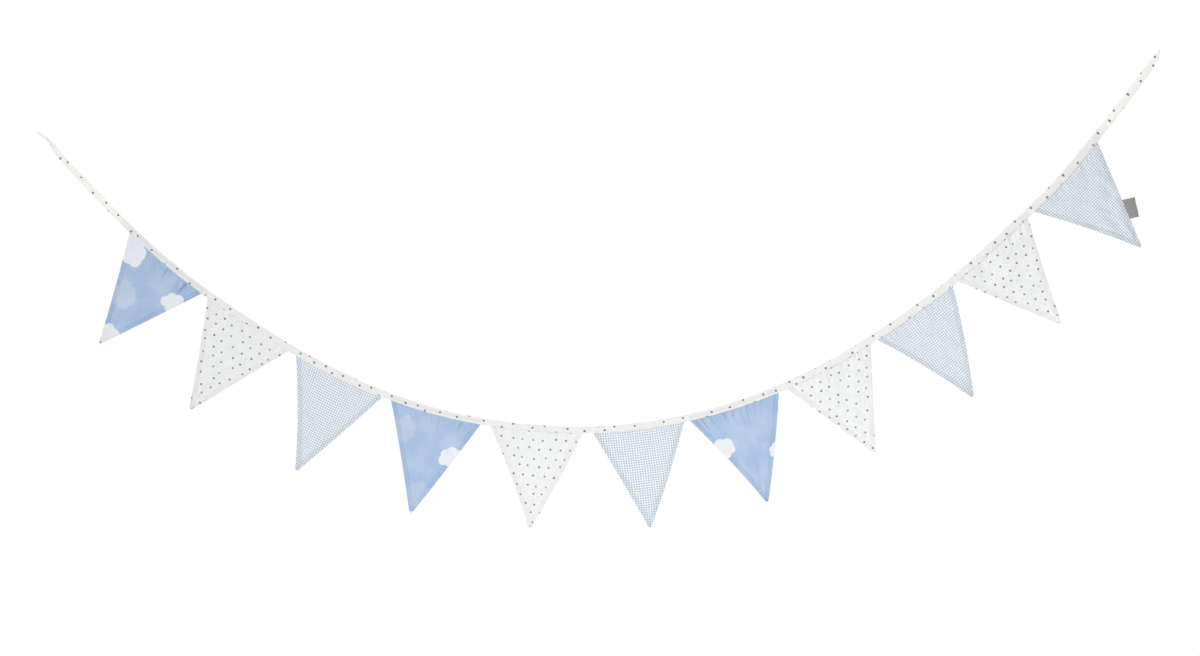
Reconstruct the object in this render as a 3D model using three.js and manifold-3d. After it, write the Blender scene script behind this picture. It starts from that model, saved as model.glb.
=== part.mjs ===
// Flag bunting: a narrow cotton tape, folded lengthwise, that hangs in a swag and holds eleven pennants by
// their top edges, with a small woven label in the last pennant's side seam.
// Millimetres. +X runs to the right along the swag, +Z is up, and the pennants' faces look along -Y.
// The origin is the tape's left end, where the bunting is tied up.
import * as THREE from "three";
import { mergeVertices } from "three/addons/utils/BufferGeometryUtils.js";
import Module from "manifold-3d";

const wasm = await Module();
wasm.setup();

// Thickness of the cloth, and the room that it leaves
const PENNANT_THICK = 1.2; // two layers of cotton, sewn face to face, turned and pressed
const TAPE_WALL = 1.0; // one side of the folded tape, its raw edge turned in
const CLEARANCE = 0.3; // between two pieces that lie on each other
const TAPE_FLAT = 2.2; // both sides of the tape sewn together with nothing between them
const TAPE_FULL = PENNANT_THICK + 2 * (CLEARANCE + TAPE_WALL);
const HEM_BEVEL = 0.8; // how far the rounding of the tape's lower edge reaches up
const HEM_ROUND = 0.3; // and in, on each side
const FOLD_HALF = 0.45; // half the thickness left at the tape's upper edge, where it is folded

// How the pieces are put together
const SEAM_DEPTH = 8.5; // how far a pennant's top edge reaches up into the folded tape
const TIP_RADIUS = 3.5; // a turned point can't be sharper
const TIP_TRIM = 0.2; // the rounded tip ends in a short straight edge
const POCKET_END = 1.3; // the tape stays at its full thickness this far past a pennant's corner
const POCKET_EASE = 5; // and is flat again from here on

// How finely the cloth is divided
const TAPE_STEP = 26; // along the free ends of the tape
const PENNANT_STEPS = 8; // along a pennant's top edge, for the tape and the pennant alike
const FINE_STEP = 8; // across a pennant where its folds are
const SMOOTH_STEP = 11; // the same where it has two wide ones at most
const COARSE_STEP = 21; // and further down
const FOLD_ZONE = 0.33; // the share of the drop that the fine steps cover
const ROW_SHARES = [0.03, 0.07, 0.13, 0.21, 0.32, 0.47, 0.64, 0.8, 0.92];

// A table's rows as objects, with its columns named once
function table(columns, rows) {
  const names = columns.split(" ");
  return rows.map((row) => Object.fromEntries(names.map((name, i) => [name, row[i]])));
}

// The sewing line, along which the tape's lower edge hangs, by the places that it passes through
const SWAG = table("x y z", [
  [0, 0, 0],
  [20, 0, -19],
  [31, 0, -40],
  [70, 0, -83],
  [160, 0, -176],
  [257, 0, -262],
  [363, 2.5, -338],
  [473, 1, -407],
  [590, -2, -465],
  [713, -3.5, -508],
  [840, -1, -533],
  [970, 2, -542],
  [1057, 2.5, -538],
  [1186, 0, -517],
  [1311, -3, -478],
  [1429, -2, -423],
  [1540, 2, -355],
  [1645, 3, -278],
  [1741, 1, -192],
  [1835, 0, -102],
  [1919, 0, -2],
  [1998, 0, 101],
  [2028, 0, 143],
]);

// The pennants from the left. gap: bare tape before the pennant. width: along the sewing line. drop: from
// its corners down to its tip, square to them. lean: how far the tip lies right of the middle, as a share
// of the width. bowLeft, bowRight: how far that side bows outwards. tape: the tape's height over it.
// tip: how far back the tip hangs from the tape. twist: how far back the right side turns from the left.
const PENNANTS = table("cloth gap width drop lean bowLeft bowRight tape tip twist", [
  ["cloud", 246, 170, 188, 0.01, -2, 0.5, 11.4, 9, -5],
  ["dots", 13, 174, 184, -0.012, -1.5, 0, 11.6, -6, 4],
  ["gingham", 16, 173, 186, 0.022, -4.5, 1, 11.8, 4, 6],
  ["cloud", 17, 167, 187, 0.015, -1.7, 0.8, 11.4, 11, -3],
  ["dots", 18, 166, 177, 0.01, -4, 2.2, 11.2, 2, -6],
  ["gingham", 19, 165, 180, -0.005, -1.2, 3, 11.2, -7, 3],
  ["cloud", 11, 168, 181, 0.03, -3.6, 2.4, 11.8, 5, 7],
  ["dots", 17, 170, 174, 0, 0, 0, 12.4, 10, -4],
  ["gingham", 15, 167, 183, -0.025, -3.8, 3.6, 12.8, -5, 5],
  ["dots", 13, 170, 180, 0.005, 1.2, -2.4, 13, 7, -6],
  ["gingham", 15, 170, 185, -0.018, -3, 0, 13.6, 3, 2],
]);

// The folds that the sewing draws into the pennants' tops. pennant: its number. across: the fold's place
// along the top, as a share of the width. back: how far it stands back, or forward where negative.
// wide: from its crest to its foot. run: how far down it reaches. drift: how far right its lower end lies.
const FOLDS = table("pennant across back wide run drift", [
  [1, 0.4, 1.6, 18, 50, 10],
  [1, 0.58, 3.4, 15, 58, 14],
  [1, 0.69, -3, 14, 52, 12],
  [1, 0.8, 3.8, 16, 48, 10],
  [1, 0.91, -2, 13, 28, 4],
  [2, 0.3, -1.6, 24, 44, 8],
  [2, 0.66, 2.2, 22, 52, 9],
  [3, 0.24, 1.8, 22, 46, 7],
  [3, 0.73, -1.6, 24, 40, 5],
  [4, 0.2, -1.5, 16, 34, 2],
  [4, 0.33, 2.2, 15, 42, 3],
  [4, 0.51, 1.8, 14, 36, 3],
  [4, 0.83, 2.4, 16, 46, 3],
  [5, 0.37, 1.7, 26, 46, 0],
  [5, 0.7, -1.4, 22, 40, 0],
  [6, 0.3, -1.6, 22, 44, -1],
  [6, 0.62, 1.9, 24, 50, -2],
  [7, 0.26, 1.9, 16, 40, -4],
  [7, 0.45, -1.8, 15, 46, -5],
  [7, 0.63, 2.4, 16, 50, -6],
  [7, 0.84, 1.8, 15, 34, -4],
  [8, 0.34, -1.7, 24, 46, -7],
  [8, 0.68, 2, 22, 44, -7],
  [9, 0.28, 2, 22, 42, -8],
  [9, 0.6, -1.5, 24, 48, -9],
  [10, 0.3, 1.8, 20, 44, -9],
  [10, 0.52, -2.4, 18, 56, -12],
  [10, 0.75, 1.6, 20, 36, -7],
  [11, 0.33, 1.6, 24, 46, -10],
  [11, 0.64, -1.5, 22, 42, -9],
]);
const FOLD_START = 6; // a fold has its full height this far below the tape

// The free ends of the tape. from: the way in from that end. low, high: its edges' heights over the sewing
// line. turn: degrees that it is turned about its own middle.
const LEFT_END = table("from low high turn", [
  [0, -1.2, 1.6, 25],
  [8, -3, 3.6, 12],
  [17, -2.4, 4.2, 38],
  [25, -2.8, 5.2, 64],
  [34, -1.6, 7.6, 34],
  [46, 0.4, 10, 0],
  [150, 0, 10.8, 0],
]);
const RIGHT_END = table("from low high turn", [
  [130, 0, 14, 0],
  [52, 0, 14, 0],
  [14, 2.6, 14, 0],
  [0, 9.6, 12, 0],
]);

// The side label: woven ribbon folded in two
const LABEL_LENGTH = 36; // along the seam
const LABEL_REACH = 20; // from the seam to its fold, at its middle
const LABEL_LEAF = 1;
const LABEL_AT = 0.65; // its middle's place down the pennant's side
const LABEL_CROOKED = 10; // degrees that it was sewn in off the seam's line

const COLOURS = {
  cloud: "#a9c1e2",
  dots: "#eeeeec",
  gingham: "#cfdfee",
  tape: "#f0f0ee",
  label: "#8f8f90",
};

const BACK = new THREE.Vector3(0, 1, 0);
const sewingLine = new THREE.CatmullRomCurve3(
  SWAG.map(({ x, y, z }) => new THREE.Vector3(x, y, z)),
  false,
  "centripetal",
);
sewingLine.arcLengthDivisions = 1200;
const TAPE_LENGTH = sewingLine.getLength();

// The place on the sewing line at a given way along it, with the direction from there up across the tape
function station(at) {
  const share = THREE.MathUtils.clamp(at / TAPE_LENGTH, 0, 1);
  const point = sewingLine.getPointAt(share);
  const along = sewingLine.getTangentAt(share);
  return { point, up: new THREE.Vector3(-along.z, 0, along.x).normalize() };
}

// The value of one column at a given way along a table whose rows are sorted by at
function readTable(rows, column, at) {
  const next = rows.findIndex((row) => row.at >= at);
  if (next === 0) return rows[0][column];
  if (next < 0) return rows.at(-1)[column];
  const [a, b] = [rows[next - 1], rows[next]];
  return THREE.MathUtils.mapLinear(at, a.at, b.at, a[column], b[column]);
}

// Where each pennant starts and ends along the sewing line, its tip and its folds
function placePennants() {
  let reached = 0;
  return PENNANTS.map((row, index) => {
    const start = reached + row.gap;
    reached = start + row.width;
    const left = station(start).point;
    const right = station(reached).point;
    const chord = right.clone().sub(left).setY(0);
    const down = new THREE.Vector3(chord.z, 0, -chord.x).normalize();
    const middle = left.clone().add(right).multiplyScalar(0.5);
    const number = index + 1;
    return {
      ...row,
      name: `pennant_${String(number).padStart(2, "0")}_${row.cloth}`,
      start,
      end: reached,
      corner: left,
      chord,
      middle,
      tipPoint: middle.clone().addScaledVector(chord, row.lean).addScaledVector(down, row.drop),
      folds: FOLDS.filter((fold) => fold.pennant === number),
    };
  });
}

// A pennant's width at a share of its drop, as a share of its top: straight sides that end in a round tip
function taper(pennant, share) {
  const half = pennant.width / 2;
  const sine = Math.sin(Math.atan2(half, pennant.drop));
  const cutOff = TIP_RADIUS / sine - TIP_RADIUS; // from the round tip to where the sides would meet
  const above = (1 - share) * pennant.drop;
  if (above < TIP_RADIUS * (1 - sine)) {
    return Math.sqrt(above * (2 * TIP_RADIUS - above)) / half;
  }
  return (above + cutOff) / (pennant.drop + cutOff);
}

// How far back a fold stands at a place on its pennant
function foldBack(fold, pennant, across, below) {
  const centre = fold.across * pennant.width + (fold.drift * below) / fold.run;
  const off = Math.abs(across * pennant.width - centre) / fold.wide;
  if (off >= 1 || below >= fold.run || below <= 0) return 0;
  const rise = THREE.MathUtils.smoothstep(below, 0, FOLD_START);
  const fade = 1 - THREE.MathUtils.smoothstep(below, FOLD_START, fold.run);
  return fold.back * rise * fade * 0.5 * (1 + Math.cos(Math.PI * off));
}

// A point on the middle of a pennant's cloth. across: 0 at its left side, 1 at its right one.
// share: the part of the drop that lies above it.
function clothPoint(pennant, across, share) {
  const { width, drop, chord, middle, tipPoint, corner } = pennant;
  const top = station(pennant.start + across * width).point;
  const sag = top.clone().sub(corner).addScaledVector(chord, -across).setY(0);
  const bow = 4 * share * (1 - share) * (pennant.bowRight * across - pennant.bowLeft * (1 - across));
  const point = middle
    .clone()
    .lerp(tipPoint, share)
    .addScaledVector(chord, (across - 0.5) * taper(pennant, share) + bow / width)
    .addScaledVector(sag, 1 - share);
  point.y = top.y * (1 - share) + middle.y * share;
  point.y += pennant.tip * share ** 2 + pennant.twist * (across - 0.5) * share;
  for (const fold of pennant.folds) point.y += foldBack(fold, pennant, across, share * drop);
  return point;
}

// A point on the stretch of a pennant that lies inside the tape, at a height over the sewing line
function seamPoint(pennant, across, height) {
  const { point, up } = station(pennant.start + across * pennant.width);
  return point.addScaledVector(up, height);
}

// The places across a row of cloth, the same distance apart from one side to the other
const evenly = (steps) => Array.from({ length: steps + 1 }, (_, i) => i / steps);

// A closed slab of cloth from rows of points on its middle, which may differ in their numbers of points.
// Each row holds its places across, from 0 to 1, and the point at each place.
function slab(rows, thick) {
  const points = [];
  const starts = rows.map((row) => {
    const first = points.length;
    points.push(...row.points);
    return first;
  });
  const faces = [];
  for (let r = 0; r + 1 < rows.length; r += 1) {
    const [upper, lower] = [rows[r].places, rows[r + 1].places];
    let [i, j] = [0, 0];
    while (i + 1 < upper.length || j + 1 < lower.length) {
      const upperLeft = i + 1 < upper.length;
      const lowerLeft = j + 1 < lower.length;
      const alongUpper = upperLeft && (!lowerLeft || upper[i + 1] <= lower[j + 1]);
      const corner = alongUpper ? starts[r] + i + 1 : starts[r + 1] + j + 1;
      faces.push([starts[r] + i, starts[r + 1] + j, corner]);
      if (alongUpper) i += 1;
      else j += 1;
    }
  }
  const last = rows.length - 1;
  const rim = [
    ...rows[0].points.map((_, i) => i),
    ...starts.slice(1, last).map((start, r) => start + rows[r + 1].points.length - 1),
    ...rows[last].points.map((_, i) => starts[last] + i).reverse(),
    ...starts.slice(1, last).reverse(),
  ];
  const count = points.length;
  const position = [];
  for (const side of [-1, 1]) {
    for (const point of points) {
      position.push(...point.clone().addScaledVector(BACK, (side * thick) / 2).toArray());
    }
  }
  const index = faces.flatMap(([a, b, c]) => [a, b, c, a + count, c + count, b + count]);
  rim.forEach((a, k) => {
    const b = rim[(k + 1) % rim.length];
    index.push(a, b, b + count, a, b + count, a + count);
  });
  const geometry = new THREE.BufferGeometry();
  geometry.setAttribute("position", new THREE.Float32BufferAttribute(position, 3));
  geometry.setIndex(index);
  return geometry;
}

// A pennant's cloth: its seam allowance inside the tape, and its hanging triangle
function pennantGeometry(pennant) {
  const seam = (height) => {
    const places = evenly(PENNANT_STEPS);
    return { places, points: places.map((place) => seamPoint(pennant, place, height)) };
  };
  const hanging = (share, step) => {
    const places = evenly(Math.max(1, Math.round((taper(pennant, share) * pennant.width) / step)));
    return { places, points: places.map((place) => clothPoint(pennant, place, share)) };
  };
  const rows = [seam(SEAM_DEPTH), seam(0)];
  const fine = pennant.folds.length > 2 ? FINE_STEP : SMOOTH_STEP;
  for (const share of ROW_SHARES) rows.push(hanging(share, share < FOLD_ZONE ? fine : COARSE_STEP));
  rows.push(hanging(1 - TIP_RADIUS / pennant.drop, COARSE_STEP));
  rows.push(hanging(1 - TIP_TRIM / pennant.drop, COARSE_STEP));
  return slab(rows, PENNANT_THICK);
}

// The room inside the tape for a pennant's seam allowance, open at the tape's lower edge
function pocketGeometry(pennant) {
  const side = CLEARANCE / pennant.width;
  const places = evenly(PENNANT_STEPS);
  const across = (place) => THREE.MathUtils.lerp(-side, 1 + side, place);
  const row = (height) => ({
    places,
    points: places.map((place) => seamPoint(pennant, across(place), height)),
  });
  return slab([row(SEAM_DEPTH + CLEARANCE), row(-TAPE_WALL)], PENNANT_THICK + 2 * CLEARANCE);
}

// The tape's sections from its left end to its right one: the free ends' rows, and one over each pennant
function tapeSections(pennants) {
  return [
    ...LEFT_END.map((row) => ({ ...row, at: row.from })),
    ...pennants.map((p) => ({ at: (p.start + p.end) / 2, low: 0, high: p.tape, turn: 0 })),
    ...RIGHT_END.map((row) => ({ ...row, at: TAPE_LENGTH - row.from })),
  ];
}

// How thick the tape is at a place along it: full over a pennant, flat past its corners
function tapeThick(pennants, at) {
  const past = Math.min(...pennants.map((p) => Math.max(p.start - at, at - p.end)));
  return THREE.MathUtils.mapLinear(
    THREE.MathUtils.clamp(past, POCKET_END, POCKET_EASE),
    POCKET_END,
    POCKET_EASE,
    TAPE_FULL,
    TAPE_FLAT,
  );
}

// The places along the tape where its section is drawn
function tapeStations(pennants) {
  const ends = [
    ...LEFT_END.slice(0, -1).map((row) => row.from),
    ...RIGHT_END.slice(1).map((row) => TAPE_LENGTH - row.from),
  ];
  const from = LEFT_END.at(-2).from;
  const to = TAPE_LENGTH - RIGHT_END.at(-2).from;
  const free = [];
  for (let at = from; at < pennants[0].start - POCKET_EASE; at += TAPE_STEP) free.push(at);
  for (let at = pennants.at(-1).end + TAPE_STEP; at < to; at += TAPE_STEP) free.push(at);
  const held = pennants.flatMap((p) => [
    p.start - POCKET_EASE,
    p.start - POCKET_END,
    ...evenly(PENNANT_STEPS).map((place) => p.start + place * p.width),
    p.end + POCKET_END,
    p.end + POCKET_EASE,
  ]);
  const sorted = [...ends, ...free, ...held].sort((a, b) => a - b);
  return sorted.filter((at, i) => i === 0 || at - sorted[i - 1] > 1);
}

// The tape as one loft: a folded strip with a round upper edge and a pressed lower one
function tapeGeometry(pennants) {
  const sections = tapeSections(pennants);
  const rings = tapeStations(pennants).map((at) => {
    const { point, up } = station(at);
    const [low, high, turn] = ["low", "high", "turn"].map((column) => readTable(sections, column, at));
    const half = tapeThick(pennants, at) / 2;
    const bevel = Math.min(HEM_BEVEL, (high - low) / 4);
    const outline = [
      [low, half - HEM_ROUND],
      [low + bevel, half],
      [high - 1.5 * bevel, half],
      [high, FOLD_HALF],
    ];
    const section = [...outline.map(([height, y]) => [height, -y]), ...outline.reverse()];
    const middle = (low + high) / 2;
    const cosine = Math.cos(THREE.MathUtils.degToRad(turn));
    const sine = Math.sin(THREE.MathUtils.degToRad(turn));
    return section.map(([height, y]) => {
      const off = height - middle;
      return point
        .clone()
        .addScaledVector(up, middle + off * cosine - y * sine)
        .addScaledVector(BACK, off * sine + y * cosine);
    });
  });
  const sides = rings[0].length;
  const index = [];
  for (let r = 0; r + 1 < rings.length; r += 1) {
    for (let k = 0; k < sides; k += 1) {
      const [a, b] = [r * sides + k, r * sides + ((k + 1) % sides)];
      index.push(a, a + sides, b, b, a + sides, b + sides);
    }
  }
  const far = (rings.length - 1) * sides;
  for (let k = 1; k + 1 < sides; k += 1) {
    index.push(0, k, k + 1, far, far + k + 1, far + k);
  }
  const geometry = new THREE.BufferGeometry().setFromPoints(rings.flat());
  geometry.setIndex(index);
  return geometry;
}

// A closed geometry as a manifold solid, and back
function toSolid(geometry) {
  const bare = new THREE.BufferGeometry();
  bare.setAttribute("position", geometry.getAttribute("position"));
  bare.setIndex(geometry.getIndex());
  const merged = mergeVertices(bare);
  return new wasm.Manifold(
    new wasm.Mesh({
      numProp: 3,
      vertProperties: new Float32Array(merged.attributes.position.array),
      triVerts: new Uint32Array(merged.index.array),
    }),
  );
}

function toGeometry(solid) {
  const mesh = solid.getMesh();
  const geometry = new THREE.BufferGeometry();
  geometry.setAttribute("position", new THREE.Float32BufferAttribute(mesh.vertProperties, 3));
  geometry.setIndex(Array.from(mesh.triVerts));
  return geometry;
}

// The folded tape with a pocket for each pennant
function tapeWithPockets(pennants) {
  let tape = toSolid(tapeGeometry(pennants));
  for (const pennant of pennants) tape = tape.subtract(toSolid(pocketGeometry(pennant)));
  return toGeometry(tape);
}

// The label's ribbon, doubled over at its outer edge, with its ends at the pennant's side seam
function labelGeometry(pennant) {
  const upper = clothPoint(pennant, 1, LABEL_AT - 0.1);
  const lower = clothPoint(pennant, 1, LABEL_AT + 0.1);
  const down = lower.clone().sub(upper).normalize();
  const outward = down.clone().cross(BACK).normalize();
  const normal = down.clone().cross(outward).normalize();
  const turn = new THREE.Quaternion().setFromAxisAngle(normal, THREE.MathUtils.degToRad(-LABEL_CROOKED));
  down.applyQuaternion(turn);
  outward.applyQuaternion(turn);

  const inner = CLEARANCE / 2;
  const outer = inner + LABEL_LEAF;
  const overlap = LABEL_LENGTH / 4; // the ribbon is drawn past the seam, and trimmed along it below
  const ribbon = new THREE.Shape();
  ribbon.absarc(LABEL_REACH - outer, 0, outer, -Math.PI / 2, Math.PI / 2, false);
  ribbon.lineTo(-overlap, outer);
  ribbon.lineTo(-overlap, inner);
  ribbon.lineTo(LABEL_REACH - outer, inner);
  ribbon.lineTo(LABEL_REACH - outer, -inner);
  ribbon.lineTo(-overlap, -inner);
  ribbon.lineTo(-overlap, -outer);
  ribbon.closePath();
  const folded = new THREE.ExtrudeGeometry(ribbon, {
    depth: LABEL_LENGTH,
    bevelEnabled: false,
    curveSegments: 6,
  });
  const seam = upper.clone().lerp(lower, 0.5).addScaledVector(down, -LABEL_LENGTH / 2);
  folded.applyMatrix4(new THREE.Matrix4().makeBasis(outward, normal, down).setPosition(seam));
  folded.deleteAttribute("normal");
  folded.deleteAttribute("uv");

  const besideSeam = (share, across) => clothPoint(pennant, 1, share).addScaledVector(outward, across);
  const inside = slab(
    [LABEL_AT - 0.2, LABEL_AT, LABEL_AT + 0.2].map((share) => ({
      places: [0, 1],
      points: [besideSeam(share, -2 * overlap), besideSeam(share, CLEARANCE)],
    })),
    LABEL_LENGTH,
  );
  return toGeometry(toSolid(folded).subtract(toSolid(inside)));
}

function clothMesh(name, geometry, colour, roughness) {
  geometry.computeVertexNormals();
  const material = new THREE.MeshStandardMaterial({ color: colour, roughness, metalness: 0 });
  const mesh = new THREE.Mesh(geometry, material);
  mesh.name = name;
  return mesh;
}

const bunting = new THREE.Group();
const pennants = placePennants();
bunting.add(clothMesh("tape", tapeWithPockets(pennants), COLOURS.tape, 0.9));
for (const pennant of pennants) {
  bunting.add(clothMesh(pennant.name, pennantGeometry(pennant), COLOURS[pennant.cloth], 0.9));
}
bunting.add(clothMesh("side_label", labelGeometry(pennants.at(-1)), COLOURS.label, 0.8));

export default bunting;
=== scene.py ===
"""Flag bunting: the looks of a string of double-cloth pennants in a folded tape, hanging in a swag.

Metres, in the frame of the solids: +X along the swag, +Z up, and the pennants' faces look along -Y.
"""

import math
from functools import partial, reduce

import bpy
import numpy as np
from bpy.props import FloatProperty, FloatVectorProperty, PointerProperty
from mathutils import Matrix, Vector


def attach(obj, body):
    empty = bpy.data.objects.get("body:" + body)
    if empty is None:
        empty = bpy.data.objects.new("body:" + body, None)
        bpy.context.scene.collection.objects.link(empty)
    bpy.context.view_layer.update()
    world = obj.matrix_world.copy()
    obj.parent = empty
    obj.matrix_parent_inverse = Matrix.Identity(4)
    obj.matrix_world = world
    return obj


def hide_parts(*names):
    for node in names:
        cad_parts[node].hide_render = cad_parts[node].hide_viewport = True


bl_info = {
    "name": "Flag bunting",
    "version": (1, 0, 0),
    "blender": (4, 5, 0),
    "location": "3D View > Sidebar > Bunting",
    "description": "Builds a hanging string of cotton pennants in a folded tape",
    "category": "Object",
}

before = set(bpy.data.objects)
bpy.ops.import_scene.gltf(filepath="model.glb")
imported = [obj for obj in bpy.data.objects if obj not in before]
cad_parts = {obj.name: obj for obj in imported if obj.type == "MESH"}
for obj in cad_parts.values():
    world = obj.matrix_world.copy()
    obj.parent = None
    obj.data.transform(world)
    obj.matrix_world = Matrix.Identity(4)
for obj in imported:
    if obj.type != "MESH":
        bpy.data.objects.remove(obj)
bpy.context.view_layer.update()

MM = 0.001


def table(columns, rows):
    """A table's rows as dictionaries, with its columns named once."""
    names = columns.split()
    return [dict(zip(names, row)) for row in rows]


# The sewing line, along which the tape's lower edge hangs, in mm
SWAG = table("x y z", [
    (0, 0, 0),
    (20, 0, -19),
    (31, 0, -40),
    (70, 0, -83),
    (160, 0, -176),
    (257, 0, -262),
    (363, 2.5, -338),
    (473, 1, -407),
    (590, -2, -465),
    (713, -3.5, -508),
    (840, -1, -533),
    (970, 2, -542),
    (1057, 2.5, -538),
    (1186, 0, -517),
    (1311, -3, -478),
    (1429, -2, -423),
    (1540, 2, -355),
    (1645, 3, -278),
    (1741, 1, -192),
    (1835, 0, -102),
    (1919, 0, -2),
    (1998, 0, 101),
    (2028, 0, 143),
])

# The pennants from the left, in mm. gap: bare tape before the pennant. width: along the sewing line.
# drop: from its corners to its tip. lean: how far right of the middle the tip lies, as a share of the
# width. bow_left, bow_right: how far that side bows outwards. tape: the tape's height over it. tip: how
# far back the tip hangs. twist: how far back the right side turns. gather_left, gather_right: how strongly
# the sewing gathers its top at that side.
PENNANTS = table("cloth gap width drop lean bow_left bow_right tape tip twist gather_left gather_right", [
    ("cloud", 246, 170, 188, 0.01, -2, 0.5, 11.4, 9, -5, 1.1, 3.3),
    ("dots", 13, 174, 184, -0.012, -1.5, 0, 11.6, -6, 4, 0.9, 1.4),
    ("gingham", 16, 173, 186, 0.022, -4.5, 1, 11.8, 4, 6, 0.9, 0.9),
    ("cloud", 17, 167, 187, 0.015, -1.7, 0.8, 11.4, 11, -3, 1.5, 1.9),
    ("dots", 18, 166, 177, 0.01, -4, 2.2, 11.2, 2, -6, 0.8, 0.8),
    ("gingham", 19, 165, 180, -0.005, -1.2, 3, 11.2, -7, 3, 0.8, 0.8),
    ("cloud", 11, 168, 181, 0.03, -3.6, 2.4, 11.8, 5, 7, 2.4, 1.4),
    ("dots", 17, 170, 174, 0, 0, 0, 12.4, 10, -4, 0.8, 0.8),
    ("gingham", 15, 167, 183, -0.025, -3.8, 3.6, 12.8, -5, 5, 1, 1),
    ("dots", 13, 170, 180, 0.005, 1.2, -2.4, 13, 7, -6, 0.9, 0.9),
    ("gingham", 15, 170, 185, -0.018, -3, 0, 13.6, 3, 2, 0.9, 0.9),
])

# The larger folds, in mm. pennant: its number. across: the fold's place along the top, as a share of the
# width. back: how far it stands back. wide: from its crest to its foot. run: how far down it reaches.
# drift: how far right its lower end lies.
FOLDS = table("pennant across back wide run drift", [
    (1, 0.4, 1.6, 18, 50, 10),
    (1, 0.58, 3.4, 15, 58, 14),
    (1, 0.69, -3, 14, 52, 12),
    (1, 0.8, 3.8, 16, 48, 10),
    (1, 0.91, -2, 13, 28, 4),
    (2, 0.3, -1.6, 24, 44, 8),
    (2, 0.66, 2.2, 22, 52, 9),
    (3, 0.24, 1.8, 22, 46, 7),
    (3, 0.73, -1.6, 24, 40, 5),
    (4, 0.2, -1.5, 16, 34, 2),
    (4, 0.33, 2.2, 15, 42, 3),
    (4, 0.51, 1.8, 14, 36, 3),
    (4, 0.83, 2.4, 16, 46, 3),
    (5, 0.37, 1.7, 26, 46, 0),
    (5, 0.7, -1.4, 22, 40, 0),
    (6, 0.3, -1.6, 22, 44, -1),
    (6, 0.62, 1.9, 24, 50, -2),
    (7, 0.26, 1.9, 16, 40, -4),
    (7, 0.45, -1.8, 15, 46, -5),
    (7, 0.63, 2.4, 16, 50, -6),
    (7, 0.84, 1.8, 15, 34, -4),
    (8, 0.34, -1.7, 24, 46, -7),
    (8, 0.68, 2, 22, 44, -7),
    (9, 0.28, 2, 22, 42, -8),
    (9, 0.6, -1.5, 24, 48, -9),
    (10, 0.3, 1.8, 20, 44, -9),
    (10, 0.52, -2.4, 18, 56, -12),
    (10, 0.75, 1.6, 20, 36, -7),
    (11, 0.33, 1.6, 24, 46, -10),
    (11, 0.64, -1.5, 22, 42, -9),
])

# The free ends of the tape, in mm. into: the way in from that end. low, high: its edges' heights over the
# sewing line. turn: degrees that it is turned about its own middle.
LEFT_END = table("into low high turn", [
    (0, -1.2, 1.6, 25),
    (8, -3, 3.6, 12),
    (17, -2.4, 4.2, 38),
    (25, -2.8, 5.2, 64),
    (34, -1.6, 7.6, 34),
    (46, 0.4, 10, 0),
    (150, 0, 10.8, 0),
])
RIGHT_END = table("into low high turn", [
    (130, 0, 14, 0),
    (52, 0, 14, 0),
    (14, 2.6, 14, 0),
    (0, 9.6, 12, 0),
])

# The clouds that fall on each pennant, in mm. side: 1 for the front, -1 for the back. x: from its middle
# line, to the right as that side is seen. y: below its top. wide: half the cloud's width. turn: degrees.
# tone: 1 for a white cloud, less for a pale one. soft: how blurred its edge is, as a share of wide.
CLOUDS = table("pennant side x y wide turn tone soft", [
    (1, 1, -22, 90, 27, -70, 0.24, 0.06),
    (1, 1, 15, 30, 26, 20, 0.1, 0.22),
    (1, 1, -59, 19, 29, -50, 1, 0.025),
    (1, 1, 58, 46, 24, 5, 1, 0.025),
    (1, 1, 2, 166, 25, -20, 1, 0.025),
    (1, -1, -30, 34, 24, 10, 0.2, 0.08),
    (1, -1, 26, 74, 24, -15, 1, 0.025),
    (4, 1, -46, 40, 25, 80, 0.2, 0.08),
    (4, 1, 40, 46, 20, 0, 0.16, 0.16),
    (4, 1, 4, 148, 24, 70, 0.18, 0.1),
    (4, 1, 46, 70, 23, 20, 1, 0.025),
    (4, 1, 2, 193, 13, 0, 1, 0.025),
    (4, -1, -44, 52, 24, -25, 1, 0.025),
    (4, -1, 34, 30, 26, 30, 0.18, 0.1),
    (4, -1, 8, 128, 22, 15, 1, 0.025),
    (7, 1, -6, 56, 30, 10, 0.13, 0.3),
    (7, 1, 36, 24, 22, -20, 0.1, 0.25),
    (7, 1, 4, 140, 22, 60, 0.1, 0.25),
    (7, 1, -46, 66, 24, 30, 1, 0.025),
    (7, 1, 44, 97, 15, 70, 1, 0.025),
    (7, -1, 20, 38, 25, 0, 1, 0.025),
    (7, -1, -28, 86, 24, 40, 0.2, 0.08),
])
# The round lobes that make up one cloud, as shares of half its width
CLOUD_LOBES = table("x y radius", [
    (0, 0, 0.52),
    (-0.58, -0.12, 0.4),
    (-0.34, 0.34, 0.4),
    (0.16, 0.44, 0.42),
    (0.58, 0.12, 0.42),
    (0.42, -0.3, 0.38),
    (-0.1, -0.38, 0.36),
])

# Slow waves and small creases of the hanging cloth, in mm, which start below the tape, and the ripple of
# its sewn sides, which dies away inwards
WAVES = table("length height", [
    (62, 0.6),
    (38, 0.4),
    (24, 0.24),
    (15, 0.13),
    (10, 0.07),
])
WAVES_FULL_BELOW = 26
RIPPLE_HEIGHT = 0.42
RIPPLE_LENGTHS = (19, 27)
RIPPLE_DIES_OVER = 9

# The small puckers that the sewing draws along a pennant's top, in mm
PUCKER_COUNT = 24
PUCKER_WIDTHS = (2.8, 6)
PUCKER_RUNS = (12, 38)
PUCKER_START = 3.5

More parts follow.
